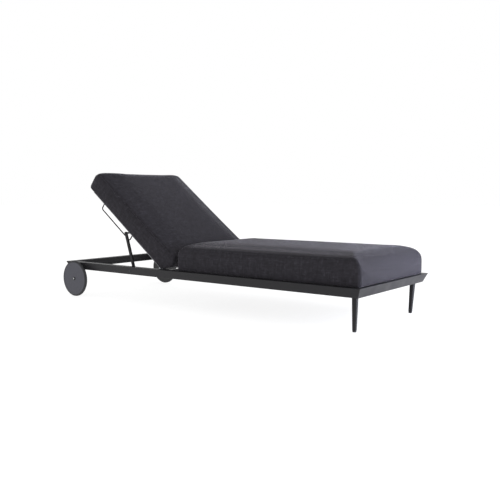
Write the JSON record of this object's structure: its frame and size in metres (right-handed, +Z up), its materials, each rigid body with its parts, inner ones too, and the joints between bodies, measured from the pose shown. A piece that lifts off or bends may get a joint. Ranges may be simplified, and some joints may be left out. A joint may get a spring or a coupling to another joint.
{
  "type": "reclining sun lounger",
  "caption": "Outdoor sun lounger with thick cushions, a mitred metal frame, two legs, two wheels and a backrest held by a ratchet prop.",
  "frame": {"origin": "on the floor, under the middle of the base frame's outer rectangle", "axes": "+X towards the foot end, +Y across the lounger, +Z up"},
  "size_m": [2.0104, 0.7824, 0.7351],
  "materials": {
    "fabric": "woven melange outdoor fabric, matt",
    "frame": "satin powder coat on aluminium",
    "slats": "satin powder coat on aluminium",
    "wheel_disc": "moulded grey plastic",
    "tyre": "matt rubber",
    "hub_cap": "polished",
    "bush": "nylon",
    "glide": "matt",
    "steel": "brushed",
    "loop": "satin powder coat on steel rod"
  },
  "bodies": {
    "backrest": {"back_bar_bottom": "frame", "back_bar_left": "frame", "back_bar_right": "frame", "back_bar_top": "frame", "back_cushion": "fabric", "back_slat_1": "slats", "back_slat_2": "slats", "back_slat_3": "slats", "back_slat_4": "slats", "back_slat_5": "slats", "keeper_loop_left": "loop", "keeper_loop_right": "loop", "pivot_bush_left": "bush", "pivot_bush_right": "bush", "rack_left": "frame", "rack_right": "frame"},
    "base": {"corner_cleats": "slats", "cross_tube_foot": "slats", "cross_tube_head": "slats", "foot_leg_left": "frame", "foot_leg_right": "frame", "foot_rail": "frame", "head_rail": "frame", "hub_cap_left": "hub_cap", "hub_cap_right": "hub_cap", "leg_glide_left": "glide", "leg_glide_right": "glide", "leg_socket_left": "slats", "leg_socket_right": "slats", "pivot_pin_left": "steel", "pivot_pin_right": "steel", "prop_bolt_left": "steel", "prop_bolt_right": "steel", "seat_cushion": "fabric", "seat_slat_1": "slats", "seat_slat_2": "slats", "seat_slat_3": "slats", "seat_slat_4": "slats", "seat_slat_5": "slats", "seat_slat_6": "slats", "seat_slat_7": "slats", "seat_slat_8": "slats", "side_rail_left": "frame", "side_rail_right": "frame", "stub_axle_left": "steel", "stub_axle_right": "steel", "wheel_bracket_left": "frame", "wheel_bracket_right": "frame"},
    "prop": {"prop_arm_left": "frame", "prop_arm_right": "frame", "prop_bushes": "bush", "prop_crossbar": "frame"},
    "wheel_left": {"wheel_bush_left": "bush", "wheel_disc_left": "wheel_disc", "wheel_tyre_left": "tyre"},
    "wheel_right": {"wheel_bush_right": "bush", "wheel_disc_right": "wheel_disc", "wheel_tyre_right": "tyre"}
  },
  "joints": [
    {"name": "backrest_recline", "type": "hinge", "parent": "base", "child": "backrest", "pos_m": [-0.223, 0, 0.19], "axis": [0, 1, 0], "range_deg": [-37.4, 10.1]},
    {"name": "prop_swing", "type": "hinge", "parent": "base", "child": "prop", "pos_m": [-0.448, 0, 0.181], "axis": [0, 1, 0], "range_deg": [-74.55, 20.5]},
    {"name": "wheel_left_spin", "type": "hinge", "parent": "base", "child": "wheel_left", "pos_m": [-0.905, -0.3795, 0.106], "axis": [0, 1, 0], "continuous": true},
    {"name": "wheel_right_spin", "type": "hinge", "parent": "base", "child": "wheel_right", "pos_m": [-0.905, 0.3795, 0.106], "axis": [0, 1, 0], "continuous": true}
  ],
  "couplings": [
    {"joint": "prop_swing", "follows": "backrest_recline", "ratio": 1.98}
  ]
}
